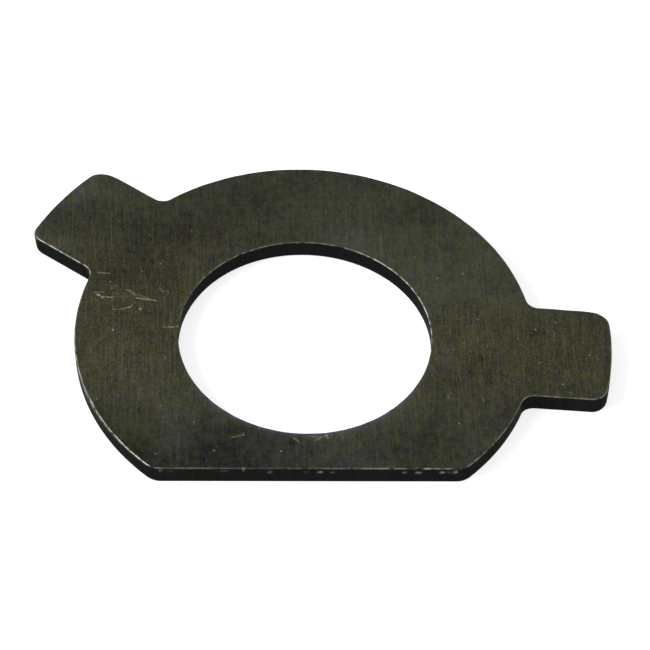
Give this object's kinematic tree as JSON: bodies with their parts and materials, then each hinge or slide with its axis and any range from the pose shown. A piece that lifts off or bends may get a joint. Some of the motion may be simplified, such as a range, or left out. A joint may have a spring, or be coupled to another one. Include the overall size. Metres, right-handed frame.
{
  "type": "thrust washer",
  "caption": "Flat blackened steel thrust washer with a plain bore, a flat on one side and two square ears that stop it turning.",
  "frame": {"origin": "on the axis of the bore, at the lower face that the washer rests on", "axes": "+Z along the bore from the lower face to the upper face; the flat faces -Y, and X runs along the flat"},
  "size_m": [0.0718, 0.0498, 0.0025],
  "materials": {
    "blackened_steel": "black oxide over fine grinding lines, satin, rubbed bright along the upper edges"
  },
  "bodies": {
    "root": {"thrust_washer": "blackened_steel"}
  },
  "joints": []
}
